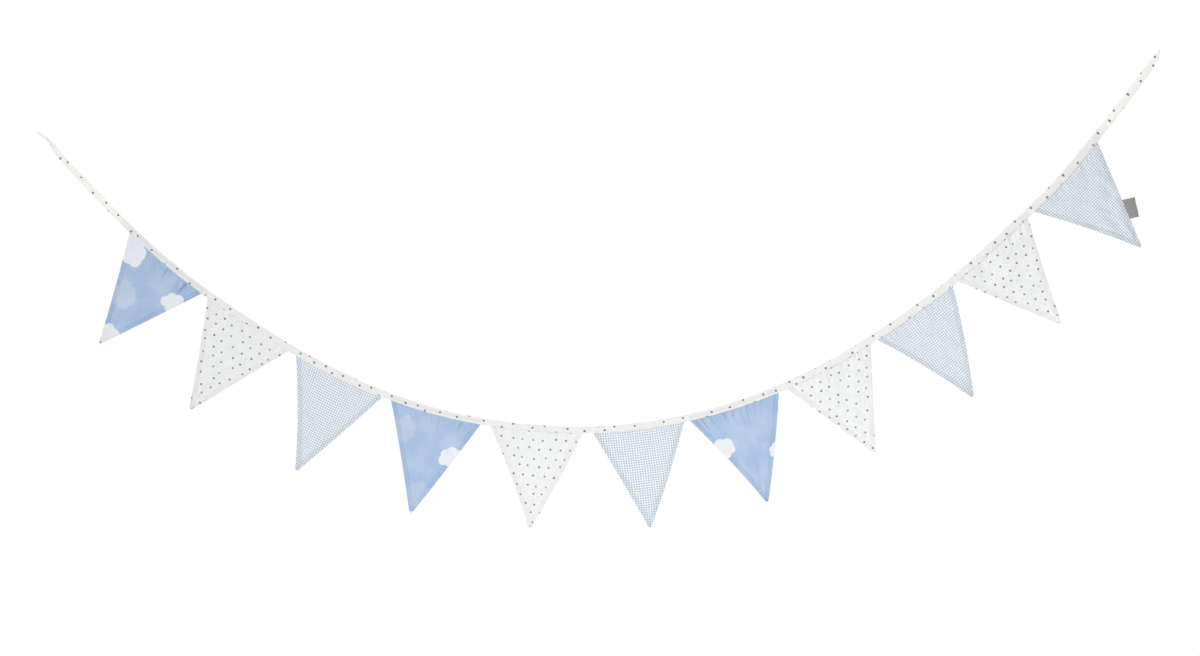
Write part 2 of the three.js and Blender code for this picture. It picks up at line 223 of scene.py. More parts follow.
# How the pieces are put together, in mm. What the solids have too is kept as it is there.
SEAM_DEPTH = 8.5  # how far a pennant's top edge reaches up into the tape
SEAM_ROWS = (SEAM_DEPTH, 5.5, 2.5)
ALLOWANCE_END = (0.9, 1)  # outwards and inwards of the raw edge, where the pennant gets thinner
TIP_RADIUS = 3.5
TIP_TRIM = 0.2  # the lowest row's height above the very tip
FOLD_START = 6  # how far below the tape a fold stands out in full
TAPE_USUAL = 9  # a tape lower than this is folded smaller
TAPE_FLAT = 2.2  # its thickness with nothing inside
TAPE_FULL = 3.8  # its thickness over a pennant
LIP_ROOM = 0.62  # half the space that a pennant takes between the tape's lips
POCKET_END = 1.3  # how far past a pennant's side the tape is still at its thickest
POCKET_EASE = 5  # how far past it the tape is flat
LABEL_LENGTH = 36
LABEL_REACH = 20
LABEL_AT = 0.65  # how far down its pennant's side its middle lies, as a share of the drop
LABEL_CROOKED = 10  # degrees
LABEL_TUCK = 0.9  # how far its ends reach in between the pennant's layers
LABEL_PRESSED = 0.28  # half the thickness of its pressed ends
LABEL_EASE = 3  # from its pressed ends to its full thickness
LABEL_BULGE = 0.28
LABEL_GAP = 0.24  # half the space between its two sides
LABEL_SPREAD = 0.2  # how much wider that is at its lower edge than at its upper edge
LABEL_LEAST_GAP = 0.05
LABEL_SLACK = 0.25  # how far its fold wanders in and out
LABEL_SWAY = (2, 14)  # past its ends, where it sways with the pennant and where no more

# How finely the cloth is divided: steps and places in mm, the rest in counts
TOP_ROW_STEP = 1.5  # down a pennant where its puckers are
ROW_STEP = 3
TOP_ROWS_TO = 42
COLUMNS = 104  # across a pennant, between those at its edges
EDGE_COLUMNS = (0, 0.12, 0.3, 0.55, 1.6, 3.6, 5.8, 7.4, 8.5, 9.6)
EDGE_SHARE = 0.92  # the most of half a row that these columns take
TIP_ROWS_FROM = 3.4
TIP_ROWS = (TIP_RADIUS, 2, 1.45, 0.95, 0.55, TIP_TRIM)  # above the tip
TAPE_STEP = 2.8
THREAD_SIDES = 6
LABEL_ROWS = 37
LABEL_COLUMNS = 12
LABEL_COLUMN_WIDTH = 1.6
LABEL_FOLD_STEPS = 9

BODY = "root"
CLOTH_REPEAT = 0.3  # metres of printed cloth that each pennant and the tape take for themselves


def linear(code):
    """An sRGB hex colour as linear values."""
    values = [int(code[i : i + 2], 16) / 255 for i in (1, 3, 5)]
    return (*(v / 12.92 if v <= 0.04045 else ((v + 0.055) / 1.055) ** 2.4 for v in values), 1)


def colour_property(name, description, code):
    return FloatVectorProperty(
        name=name, description=description, default=linear(code), size=4, subtype="COLOR", min=0, max=1
    )


def length_property(name, description, millimetres):
    return FloatProperty(
        name=name, description=description, default=millimetres * MM, min=0, unit="LENGTH", precision=5
    )


class BuntingSizes(bpy.types.PropertyGroup):
    """Sizes that a maker would change without a new cutting plan."""

    edge_thickness: length_property("Edge", "Thickness of a pennant over its turned seam allowance", 1.15)
    middle_thickness: length_property("Middle", "Thickness of a pennant between its seam allowances", 0.8)
    seam_allowance: length_property("Seam allowance", "Width of the cloth turned in along the sides", 8.5)
    pucker_depth: length_property("Puckers", "Depth of the small puckers below the tape", 0.95)
    dot_spacing: length_property("Dot spacing", "Distance between printed dots", 19.5)
    dot_size: length_property("Dot size", "Diameter of a printed dot", 3.9)
    check_repeat: length_property("Check repeat", "One white and one blue stripe of the gingham", 4.4)
    thread_spacing: length_property("Thread spacing", "Distance between threads, as drawn", 0.6)
    stitch_length: length_property("Stitch length", "Length of one topstitch", 2.5)
    stitch_inset: length_property("Stitch inset", "How far the topstitching lies from the edge", 2.2)
    sewing_thread: length_property("Sewing thread", "Thickness of the topstitching thread", 0.36)
    label_leaf: length_property("Label ribbon", "Thickness of the label's ribbon", 0.7)


class BuntingColours(bpy.types.PropertyGroup):
    """Colours of the cloths, prints and thread."""

    sky: colour_property("Sky", "Ground of the cloud print", "#a6bedc")
    cloud: colour_property("Cloud", "White clouds of the print", "#e6eaef")
    white_cotton: colour_property("White cotton", "Ground of the dotted cloth", "#ecedee")
    tape_cotton: colour_property("Tape cotton", "Ground of the dotted tape", "#ebebe9")
    # Painted light: the bare free ends are painted lighter for the light from behind that comes through
    # them
    backlit_bare_tape: colour_property("Bare tape", "The tape's free ends, where light comes through", "#f8f8f5")
    dot: colour_property("Dot", "Printed dots", "#7d7a78")
    check_white: colour_property("Check white", "White stripes of the gingham", "#f7f9fa")
    check_blue: colour_property("Check blue", "Where blue stripes of the gingham cross", "#b1becd")
    label: colour_property("Label", "Woven label", "#8c8c8d")
    thread: colour_property("Thread", "Topstitching thread", "#f2f1ee")
    floor: colour_property("Floor", "Studio floor", "#f1f1f0")


def smoothstep(value, start, end):
    share = np.clip((value - start) / (end - start), 0, 1)
    return share * share * (3 - 2 * share)


# The sewing line

SWAG_KNOTS = np.array([[row["x"], row["y"], row["z"]] for row in SWAG], float)


def swag_point(along):
    """The centripetal curve through the swag's places. along grows by 1 from one place to the next."""
    first, last = SWAG_KNOTS[0], SWAG_KNOTS[-1]
    knots = np.vstack([2 * first - SWAG_KNOTS[1], SWAG_KNOTS, 2 * last - SWAG_KNOTS[-2]])
    start = np.clip(np.floor(along).astype(int), 0, len(SWAG_KNOTS) - 2)
    part = (along - start)[:, None]
    before, here, there, after = (knots[start + step] for step in range(4))
    into, over, out = (
        np.linalg.norm(b - a, axis=1, keepdims=True) ** 0.5
        for a, b in ((before, here), (here, there), (there, after))
    )
    leave = ((here - before) / into - (there - before) / (into + over) + (there - here) / over) * over
    arrive = ((there - here) / over - (after - here) / (over + out) + (after - there) / out) * over
    square = 3 * (there - here) - 2 * leave - arrive
    cube = 2 * (here - there) + leave + arrive
    return here + part * (leave + part * (square + part * cube))


SWAG_STEPS = np.linspace(0, len(SWAG_KNOTS) - 1, 1201)
SWAG_LENGTHS = np.concatenate(
    [[0], np.cumsum(np.linalg.norm(np.diff(swag_point(SWAG_STEPS), axis=0), axis=1))]
)
TAPE_LENGTH = SWAG_LENGTHS[-1]


def station(at):
    """Points at given ways along the sewing line, in mm, and the direction up across the tape at each."""
    at = np.atleast_1d(np.asarray(at, float))
    along = np.interp(at, SWAG_LENGTHS, SWAG_STEPS)
    near = 1e-4 * SWAG_STEPS[-1]
    ahead = swag_point(np.minimum(along + near, SWAG_STEPS[-1]))
    behind = swag_point(np.maximum(along - near, 0))
    tangent = ahead - behind
    up = np.stack([-tangent[:, 2], np.zeros(len(at)), tangent[:, 0]], axis=1)
    return swag_point(along), up / np.linalg.norm(up, axis=1, keepdims=True)


def place_pennants():
    """Where each pennant starts and ends along the sewing line, its tip and its folds."""
    placed, reached = [], 0
    for number, row in enumerate(PENNANTS, 1):
        start = reached + row["gap"]
        reached = start + row["width"]
        (left, right), _ = station([start, reached])
        chord = (right - left) * (1, 0, 1)
        down = np.array([chord[2], 0, -chord[0]]) / np.linalg.norm(chord)
        middle = (left + right) / 2
        placed.append({
            **row,
            "number": number,
            "node": f"pennant_{number:02d}_{row['cloth']}",
            "start": start,
            "end": reached,
            "corner": left,
            "chord": chord,
            "middle": middle,
            "tip_point": middle + chord * row["lean"] + down * row["drop"],
            "plumb": -chord[2] / chord[0],
            "folds": [fold for fold in FOLDS if fold["pennant"] == number],
        })
    return placed


def taper(pennant, share):
    """A pennant's width at a share of its drop, as a share of its top, with its round tip."""
    half, drop = pennant["width"] / 2, pennant["drop"]
    sine = math.sin(math.atan2(half, drop))
    cut_off = TIP_RADIUS / sine - TIP_RADIUS
    above = np.maximum((1 - share) * drop, 0)
    round_tip = np.sqrt(np.maximum(above * (2 * TIP_RADIUS - above), 0)) / half
    straight = (above + cut_off) / (drop + cut_off)
    return np.where(above < TIP_RADIUS * (1 - sine), round_tip, straight)


def fold_back(fold, pennant, across, below, start=FOLD_START):
    """How far back a fold stands at places on its pennant."""
    centre = fold["across"] * pennant["width"] + fold["drift"] * below / fold["run"]
    off = np.clip(np.abs(across * pennant["width"] - centre) / fold["wide"], 0, 1)
    height = smoothstep(below, 0, start) * (1 - smoothstep(below, start, fold["run"]))
    return fold["back"] * height * 0.5 * (1 + np.cos(np.pi * off))


def cloth_point(pennant, across, share):
    """Points on the middle of a pennant's cloth. across: 0 to 1 from its left side. share: of its drop."""
    across, share = np.broadcast_arrays(across, share)
    top, _ = station(pennant["start"] + across.ravel() * pennant["width"])
    top = top.reshape(*across.shape, 3)
    chord, middle = pennant["chord"], pennant["middle"]
    sag = (top - pennant["corner"] - across[..., None] * chord) * (1, 0, 1)
    bow = 4 * share * (1 - share) * (pennant["bow_right"] * across - pennant["bow_left"] * (1 - across))
    reach = (across - 0.5) * taper(pennant, share) + bow / pennant["width"]
    point = middle + (pennant["tip_point"] - middle) * share[..., None]
    point = point + chord * reach[..., None] + sag * (1 - share)[..., None]
    back = top[..., 1] * (1 - share) + middle[1] * share
    back = back + pennant["tip"] * share**2 + pennant["twist"] * (across - 0.5) * share
    for fold in pennant["folds"]:
        back = back + fold_back(fold, pennant, across, share * pennant["drop"])
    point[..., 1] = back
    return point


# Meshes


def tube_faces(rows, sides):
    """The four-cornered faces of a tube through closed rings, with the ring and the side of each."""
    row, side = np.meshgrid(np.arange(rows - 1), np.arange(sides), indexing="ij")
    beside = (side + 1) % sides
    here, ahead = row * sides, (row + 1) * sides
    faces = np.stack([here + side, ahead + side, ahead + beside, here + beside], axis=-1)
    return faces.reshape(-1, 4), row, side


def loft(rings, uv_start, uv_end, caps):
    """Points, faces and corner UVs of a closed tube through rings of points. Both UV arrays are by ring and
    side: the first holds the near edge of each side, the second its far edge."""
    rows, sides = rings.shape[:2]
    faces, row, side = tube_faces(rows, sides)
    uvs = np.stack([
        uv_start[row, side],
        uv_start[row + 1, side],
        uv_end[row + 1, side],
        uv_end[row, side],
    ], axis=-2).reshape(-1, 2)
    last = (rows - 1) * sides
    faces = faces.tolist()
    cap_uvs = []
    for cap in caps(sides):
        faces.append(list(cap))
        cap_uvs.extend(uv_start[0, k] for k in cap)
    for cap in caps(sides):
        faces.append([last + k for k in reversed(cap)])
        cap_uvs.extend(uv_start[-1, k] for k in reversed(cap))
    return rings.reshape(-1, 3), faces, np.vstack([uvs, np.array(cap_uvs)])


def strip_caps(sides):
    """Closes a flat ring by joining its front to its back."""
    half = sides // 2
    yield (0, 1, sides - 1)
    for k in range(1, half - 1):
        yield (k, k + 1, sides - k - 1, sides - k)
    yield (half - 1, half, half + 1)


def folded_caps(sides):
    """Closes a folded ring by joining its outside to its inside."""
    for k in range(sides // 2 - 1):
        yield (k, k + 1, sides - k - 2, sides - k - 1)


def whole_cap(sides):
    yield tuple(range(sides))


def add_piece(name, points, faces, uvs, material, values=None):
    """A smooth mesh object from points in mm, which moves with the bunting."""
    mesh = bpy.data.meshes.new(name)
    mesh.from_pydata((np.asarray(points) * MM).tolist(), [], faces)
    mesh.uv_layers.new(name="Cloth").data.foreach_set("uv", np.asarray(uvs, np.float32).ravel())
    for key, numbers in (values or {}).items():
        attribute = mesh.attributes.new(key, "FLOAT", "POINT")
        attribute.data.foreach_set("value", np.asarray(numbers, np.float32).ravel())
    mesh.shade_smooth()
    mesh.validate()
    mesh.materials.append(material)
    piece = bpy.data.objects.new(name, mesh)
    bpy.context.scene.collection.objects.link(piece)
    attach(piece, BODY)
    return piece


def small_puckers(pennant, depth):
    """The small puckers that the sewing draws along a pennant's top, as rows like those of the folds."""
    chance = np.random.default_rng(40 + pennant["number"])
    count = PUCKER_COUNT
    places = (np.arange(count) + chance.uniform(0.1, 0.9, count)) / count
    gathers = pennant["gather_left"] + (pennant["gather_right"] - pennant["gather_left"]) * places
    backs = depth / MM * gathers * chance.uniform(0.2, 1.3, count)
    signs = np.where(np.arange(count) % 2, 1, -1)
    wides = chance.uniform(*PUCKER_WIDTHS, count)
    runs = chance.uniform(*PUCKER_RUNS, count) * (0.8 + 0.35 * gathers)
    drifts = runs * pennant["plumb"] * chance.uniform(0.1, 0.5, count)
    rows = zip(places, backs * signs, wides, runs, drifts)
    return [dict(zip(("across", "back", "wide", "run", "drift"), row)) for row in rows]


def soft_waves(pennant, across, below, from_edge):
    """Slow waves of the hanging cloth, and the ripple of its sewn sides, in mm."""
    chance = np.random.default_rng(80 + pennant["number"])
    sideways = across * pennant["width"]
    back = np.zeros_like(below)
    for wave in WAVES:
        length = wave["length"]
        turn, phase = chance.uniform(0, math.pi), chance.uniform(0, 2 * math.pi)
        run = sideways * math.cos(turn) + below * math.sin(turn)
        # Each wave wanders, so that no two of its crests are alike
        slanting = (below - sideways * 0.6) / (1.7 * length)
        run = run + 0.12 * length * np.sin(2 * math.pi * slanting + phase)
        back += wave["height"] * np.sin(2 * math.pi * run / length + phase)
    rippling = 2 * math.pi * below / chance.uniform(*RIPPLE_LENGTHS) + chance.uniform(0, 6) + 3 * across
    back += RIPPLE_HEIGHT * np.sin(rippling) * np.exp(-from_edge / RIPPLE_DIES_OVER)
    return back * smoothstep(below, 0, WAVES_FULL_BELOW)


def pennant_rows(pennant):
    """How far below the tape each row of the hanging cloth lies, in mm."""
    drop = pennant["drop"]
    top = np.arange(0, TOP_ROWS_TO, TOP_ROW_STEP)
    rest = np.arange(TOP_ROWS_TO, drop - TIP_ROWS_FROM, ROW_STEP)
    return np.concatenate([top, rest, drop - np.array(TIP_ROWS)])


def add_pennant(pennant, sizes, material):
    """One pennant: two layers sewn along the sides, turned and pressed, its top caught in the tape."""
    width, drop = pennant["width"], pennant["drop"]
    slant = drop / math.hypot(drop, width / 2)
    seam_rows = np.array(SEAM_ROWS)
    below = pennant_rows(pennant)
    share = below / drop
    half_widths = np.concatenate([np.full(len(seam_rows), width / 2), taper(pennant, share) * width / 2])

    # Columns crowd at the sides, where the seam allowance ends and the cloth is turned
    edge = np.array(EDGE_COLUMNS) / slant
    fit = np.minimum(1, EDGE_SHARE * half_widths / edge[-1])[:, None]
    left = -half_widths[:, None] + edge * fit
    inner = np.linspace(0, 1, COLUMNS + 2)[1:-1]
    middle = left[:, -1:] * (1 - 2 * inner)
    columns = np.hstack([left, middle, -left[:, ::-1]])
    from_edge = np.maximum(half_widths[:, None] - np.abs(columns), 0) * slant
    across = 0.5 + columns / (2 * half_widths[:, None])

    count = len(seam_rows)
    hanging_across, hanging_share = across[count:], share[:, None]
    cloth = cloth_point(pennant, hanging_across, hanging_share)
    depth_below = hanging_share * drop + 0 * hanging_across
    for pucker in small_puckers(pennant, sizes.pucker_depth):
        cloth[..., 1] += fold_back(pucker, pennant, hanging_across, depth_below, PUCKER_START)
    cloth[..., 1] += soft_waves(pennant, hanging_across, depth_below, from_edge[count:])
    inside, up = station(pennant["start"] + across[:count].ravel() * width)
    inside = inside + up * np.repeat(seam_rows, across.shape[1])[:, None]
    points = np.concatenate([inside.reshape(count, -1, 3), cloth])

    edge_half, middle_half = sizes.edge_thickness / 2 / MM, sizes.middle_thickness / 2 / MM
    allowance = sizes.seam_allowance / MM
    inside_it = smoothstep(from_edge, allowance - ALLOWANCE_END[0], allowance + ALLOWANCE_END[1])
    body = edge_half + (middle_half - edge_half) * inside_it
    turned = np.minimum(from_edge / edge_half, 1)
    above_tip = np.concatenate([np.full(count, drop), drop - below])[:, None]
    tip_turned = np.clip(above_tip / edge_half / 2, 0, 1)
    half = body * np.sqrt(1 - (1 - turned) ** 2) * np.sqrt(1 - (1 - tip_turned) ** 2)

    front, back = points.copy(), points.copy()
    front[..., 1] -= half
    back[..., 1] += half
    rings = np.concatenate([front, back[:, -2:0:-1]], axis=1)
    edge_ring = np.concatenate([from_edge, from_edge[:, -2:0:-1]], axis=1)

    # Each pennant is cut from its own stretch of the cloth, and its back from the stretch beside it
    down = np.concatenate([-seam_rows, below])[:, None] + 0 * columns
    front_uv = np.stack([columns, -down], axis=-1) * MM + (CLOTH_REPEAT * pennant["number"], 0)
    back_uv = front_uv[:, ::-1] * (-1, 1) + (0, 2 * CLOTH_REPEAT)
    uv_start = np.concatenate([front_uv[:, :-1], back_uv[:, :-1]], axis=1)
    uv_end = np.concatenate([front_uv[:, 1:], back_uv[:, 1:]], axis=1)

    points, faces, uvs = loft(rings, uv_start, uv_end, strip_caps)
    name = f"sewn_{pennant['node']}"
    piece = add_piece(name, points, faces, uvs, material, {"from_edge": edge_ring * MM})
    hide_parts(pennant["node"])
    return piece


def tape_sections(pennants, at):
    """The tape's lower and upper edge over the sewing line, its turn in degrees and its thickness."""
    rows = [(row["into"], row["low"], row["high"], row["turn"]) for row in LEFT_END]
    rows += [((p["start"] + p["end"]) / 2, 0, p["tape"], 0) for p in pennants]
    rows += [(TAPE_LENGTH - row["into"], row["low"], row["high"], row["turn"]) for row in RIGHT_END]
    places, *columns = (np.array(column, float) for column in zip(*rows))
    low, high, turn = (np.interp(at, places, column) for column in columns)
    past = np.min([np.maximum(p["start"] - at, at - p["end"]) for p in pennants], axis=0)
    full = 1 - np.clip((past - POCKET_END) / (POCKET_EASE - POCKET_END), 0, 1)
    return low, high, np.radians(turn), full


# The tape's outside, from its lower lip to its fold. up: over its lower edge, in mm, or below its upper
# edge where negative. out: a share of half its thickness. sink: how far it lies in, in mm.
TAPE_OUTSIDE = table("up out sink", [
    (0.1, 1, 0.42),
    (0.45, 1, 0.1),
    (1.1, 1, 0),
    (1.75, 1, 0.12),
    (2.2, 1, 0.3),
    (2.65, 1, 0.12),
    (3.4, 1, 0),
    (5, 1, 0),
    (-3.6, 1, 0),
    (-2.1, 0.95, 0),
    (-1, 0.78, 0),
    (-0.3, 0.45, 0),
])
# Its inside, from the fold down. room: half the space between its two sides, over a pennant and past it.
TAPE_INSIDE = table("up pennant_room bare_room", [
    (-1.5, 0.35, 0.04),
    (-2.4, 0.7, 0.06),
    (2.2, LIP_ROOM, 0.06),
    (0.4, LIP_ROOM, 0.08),
])
TAPE_INSIDE_FOLD = -1.1
TAPE_LEAST_HALF = 0.2

# How the tape's folded edge, its lower edge and its sides ripple: the length and height of each wave, in mm
FOLD_WAVES = ((61, 0.2), (27, 0.14), (11, 0.08))
LOWER_EDGE_WAVES = ((43, 0.12), (17, 0.1))
SIDE_WAVES = ((9.5, 0.07), (5.7, 0.05), (31, 0.08))
RIPPLES_FROM = (40, 60)  # its free left end is too twisted to ripple

# Where a blue pennant inside starts to show through, over the tape's lower edge, and where the tape is
# bare past the pennants, where it is painted lighter for the light that comes through it, in mm
INSIDE_SHOWS = (2.6, 4.2)
INSIDE_ENDS = (SEAM_DEPTH - 0.5, SEAM_DEPTH + 0.6)
BARE_FROM = (4, 40)


def add_tape(pennants, sizes, material):
    """The tape: a strip folded lengthwise over the pennants' tops, its edges turned in."""
    stations = np.linspace(0, TAPE_LENGTH, round(TAPE_LENGTH / TAPE_STEP) + 1)
    point, up = station(stations)
    low, high, turn, full = tape_sections(pennants, stations)
    half = (TAPE_FLAT + (TAPE_FULL - TAPE_FLAT) * full) / 2
    chance = np.random.default_rng(7)

    def waves(rows):
        total = np.zeros(len(stations))
        for length, size in rows:
            total += size * np.sin(2 * math.pi * stations / length + chance.uniform(0, 6.28))
        return total

    held = smoothstep(stations, *RIPPLES_FROM)
    high = high + held * waves(FOLD_WAVES)
    low = low + held * waves(LOWER_EDGE_WAVES)
    tall = high - low
    squeeze = np.minimum(1, tall / TAPE_USUAL)

    def height(up_by):
        return (low + up_by * squeeze) if up_by > 0 else (high + up_by * squeeze)

    ripples = [held * waves(SIDE_WAVES) for _ in (0, 1)]
    lip = (half + full * LIP_ROOM) / 2
    heights, backs = [low], [-lip]
    for side, rows in ((-1, TAPE_OUTSIDE), (1, TAPE_OUTSIDE[::-1])):
        for row in rows:
            heights.append(height(row["up"]))
            out = half * row["out"] - row["sink"] + ripples[side > 0] * row["out"] ** 4
            backs.append(side * np.maximum(out, TAPE_LEAST_HALF))
        if side < 0:
            heights.append(high)
            backs.append(np.zeros(len(stations)))
    heights.append(low)
    backs.append(lip)
    for side, rows in ((1, TAPE_INSIDE[::-1]), (-1, TAPE_INSIDE)):
        for row in rows:
            heights.append(height(row["up"]))
            backs.append(side * (row["bare_room"] + (row["pennant_room"] - row["bare_room"]) * full))
        if side > 0:
            heights.append(height(TAPE_INSIDE_FOLD))
            backs.append(np.zeros(len(stations)))
    heights, backs = np.stack(heights, axis=1), np.stack(backs, axis=1)

    middle = ((low + high) / 2)[:, None]
    off = heights - middle
    cosine, sine = np.cos(turn)[:, None], np.sin(turn)[:, None]
    rise = middle + off * cosine - backs * sine
    back = off * sine + backs * cosine
    rings = point[:, None] + up[:, None] * rise[..., None] + np.array([0, 1, 0]) * back[..., None]

    # Across the strip, so that the print runs on round the fold
    steps = np.hypot(np.diff(heights, axis=1), np.diff(backs, axis=1)).mean(axis=0)
    across = np.concatenate([[0], np.cumsum(steps)])
    grid = np.stack(np.broadcast_arrays(stations[:, None], across[None]), axis=-1) * MM
    uv_end = np.concatenate([grid[:, 1:], grid[:, :1] + (0, (across[-1] + 1) * MM)], axis=1)
    above = heights - low[:, None]
    blue = np.zeros(len(stations))
    for pennant in pennants:
        if pennant["cloth"] == "cloud":
            blue += (stations > pennant["start"]) & (stations < pennant["end"])
    shows = blue[:, None] * smoothstep(above, *INSIDE_SHOWS) * (1 - smoothstep(above, *INSIDE_ENDS))
    past_pennants = np.maximum(pennants[0]["start"] - stations, stations - pennants[-1]["end"])
    # Past the pennants the tape is painted lighter, for the light from behind that comes through it
    bare = smoothstep(past_pennants, *BARE_FROM)[:, None] + 0 * above
    values = {"above_edge": above * MM, "blue_inside": shows, "bare": bare}
    points, faces, uvs = loft(rings, grid, uv_end, whole_cap)
    tape = add_piece("folded_tape", points, faces, uvs, material, values)
    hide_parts("tape")
    return tape


# One stitch: a short length of thread that dips into the cloth at both ends. along: a share of the stitch.
# thick: a share of the thread. dip: in mm.
STITCH = table("along thick dip", [
    (-0.5, 0.15, 0.32),
    (-0.42, 0.75, 0.12),
    (-0.2, 1, 0),
    (0.2, 1, 0),
    (0.42, 0.75, 0.12),
    (0.5, 0.15, 0.32),
])
STITCH_SHARE = 0.86  # the rest is the space between two stitches
STITCH_SUNK = 0.24
STITCHES_FROM = 6


def add_topstitching(pennants, sizes, tape, material):
    """The topstitching along the tape's lower edge, on its front and its back."""
    step = sizes.stitch_length / MM
    at = np.arange(STITCHES_FROM, TAPE_LENGTH - STITCHES_FROM, step)
    point, up = station(at)
    ahead, _ = station(at + 0.5)
    along = ahead - point
    along /= np.linalg.norm(along, axis=1, keepdims=True)
    low, high, turn, full = tape_sections(pennants, at)
    half = (TAPE_FLAT + (TAPE_FULL - TAPE_FLAT) * full) / 2
    inset = sizes.stitch_inset / MM * np.minimum(1, (high - low) / TAPE_USUAL)
    middle = (low + high) / 2
    chance = np.random.default_rng(11)
    wander = 0.1 * np.sin(at / 19) + chance.uniform(-0.06, 0.06, len(at))

    lengths, thick, dips = (np.array([row[name] for row in STITCH]) for name in ("along", "thick", "dip"))
    sides = THREAD_SIDES
    angles = np.arange(sides) * 2 * math.pi / sides
    radius = sizes.sewing_thread / 2 / MM
    rings = []
    backward = np.array([0, 1, 0])
    for side in (-1, 1):
        out_by = side * (half - STITCH_SUNK)
        off = low + inset + wander - middle
        rise = middle + off * np.cos(turn) - out_by * np.sin(turn)
        back = off * np.sin(turn) + out_by * np.cos(turn)
        seat = point + up * rise[:, None] + backward * back[:, None]
        across = up * np.cos(turn)[:, None] + backward * np.sin(turn)[:, None]
        outward = side * (backward * np.cos(turn)[:, None] - up * np.sin(turn)[:, None])
        centre = (
            seat[:, None]
            + along[:, None] * (lengths * step * STITCH_SHARE)[None, :, None]
            - outward[:, None] * dips[None, :, None]
        )
        circle = across[:, None] * np.cos(angles)[:, None] + outward[:, None] * np.sin(angles)[:, None]
        rings.append(centre[:, :, None] + circle[:, None] * (radius * thick)[None, :, None, None])
    rings = np.concatenate(rings)
    count, rows = rings.shape[:2]
    starts = np.arange(count) * rows * sides
    one, _, _ = tube_faces(rows, sides)
    faces = (starts[:, None, None] + one).reshape(-1, 4).tolist()
    for first in starts.tolist():
        last = first + (rows - 1) * sides
        faces.append([first + k for k in range(sides)])
        faces.append([last + k for k in reversed(range(sides))])
    stitch_uv = np.stack(np.broadcast_arrays((lengths * step)[:, None], np.arange(sides) / sides), axis=-1)
    vertex_uv = np.tile(stitch_uv.reshape(-1, 2), (count, 1)) * MM
    uvs = vertex_uv[np.concatenate([np.asarray(face) for face in faces])]
    stitches = add_piece("tape_topstitching", rings.reshape(-1, 3), faces, uvs, material)
    stitches.parent = tape
    return stitches


def add_label(pennant, sizes, material):
    """The side label: woven ribbon folded in two, its ends in the last pennant's side seam, left bare."""
    upper, lower = cloth_point(pennant, np.ones(2), np.array([LABEL_AT - 0.1, LABEL_AT + 0.1]))
    down = (lower - upper) / np.linalg.norm(lower - upper)
    outward = np.cross(down, (0, 1, 0))
    outward /= np.linalg.norm(outward)
    normal = np.cross(down, outward)
    turn = math.radians(-LABEL_CROOKED)
    down, outward = (
        v * math.cos(turn) + np.cross(normal, v) * math.sin(turn) for v in (down, outward)
    )
    leaf = sizes.label_leaf / MM
    seam = (upper + lower) / 2
    rows = np.linspace(-0.5, 0.5, LABEL_ROWS)
    shares = LABEL_AT + rows * LABEL_LENGTH / pennant["drop"]
    row_widths = taper(pennant, shares) * pennant["width"]
    sewn_in = LABEL_TUCK / 2
    besides = cloth_point(pennant, np.ones(len(rows)), shares)
    besides[:, 1] += soft_waves(pennant, 1 - sewn_in / row_widths, shares * pennant["drop"], sewn_in)
    rings = []
    for place, beside in zip(rows, besides):
        start = np.dot(beside - seam, outward) - LABEL_TUCK
        slack = LABEL_SLACK * math.sin(9 * place)
        gap = LABEL_GAP + LABEL_SPREAD * place
        round_half = gap + leaf
        reach = LABEL_REACH - round_half + slack
        straight = np.linspace(start, reach, LABEL_COLUMNS)
        angles = np.linspace(-math.pi / 2, math.pi / 2, LABEL_FOLD_STEPS)[1:-1]
        pressed = 1 - smoothstep(straight, start + LABEL_TUCK, start + LABEL_TUCK + LABEL_EASE)
        bulge = LABEL_BULGE * np.sin(np.pi * (straight - start) / (reach - start))
        bulge -= (round_half - LABEL_PRESSED) * pressed
        outer = [(x, -(round_half + b)) for x, b in zip(straight, bulge)]
        outer += [(reach + round_half * math.cos(a), round_half * math.sin(a)) for a in angles]
        outer += [(x, round_half + b) for x, b in zip(straight[::-1], bulge[::-1])]
        inner = [(x, max(gap + b, LABEL_LEAST_GAP)) for x, b in zip(straight, bulge)]
        inner += [(reach + gap * math.cos(a), -gap * math.sin(a)) for a in angles]
        inner += [(x, -max(gap + b, LABEL_LEAST_GAP)) for x, b in zip(straight[::-1], bulge[::-1])]
        centre = seam + down * place * LABEL_LENGTH
        # Its ends sway with the pennant's side that they are sewn into
        sway = np.array([0, (beside - centre - outward * start)[1], 0])
        sways_to = start + np.array(LABEL_SWAY)
        rings.append([
            centre + outward * x + normal * y + sway * (1 - smoothstep(x, *sways_to))
            for x, y in outer + inner
        ])
    rings = np.array(rings)
    sides = rings.shape[1]
    span = np.arange(sides) * LABEL_COLUMN_WIDTH
    grid = np.stack(np.broadcast_arrays(span[None], (rows * LABEL_LENGTH)[:, None]), axis=-1) * MM
    uv_end = np.concatenate([grid[:, 1:], grid[:, -1:] + (LABEL_COLUMN_WIDTH * MM, 0)], axis=1)
    points, faces, uvs = loft(rings, grid, uv_end, folded_caps)
    label = add_piece("folded_side_label", points, faces, uvs, material)
    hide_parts("side_label")
    return label


# Materials

MATH = "ShaderNodeMath"
VECTOR_MATH = "ShaderNodeVectorMath"
MAP_RANGE = "ShaderNodeMapRange"
MIX = "ShaderNodeMix"
COMBINE = "ShaderNodeCombineXYZ"
GREY = "ShaderNodeCombineColor"
NOISE = "ShaderNodeTexNoise"
WAVE = "ShaderNodeTexWave"
CHECKER = "ShaderNodeTexChecker"
VORONOI = "ShaderNodeTexVoronoi"
MAPPING = "ShaderNodeMapping"
ATTRIBUTE = "ShaderNodeAttribute"
UV_MAP = "ShaderNodeUVMap"
BUMP = "ShaderNodeBump"
SHADER = "ShaderNodeBsdfPrincipled"
OUTPUT = "ShaderNodeOutputMaterial"

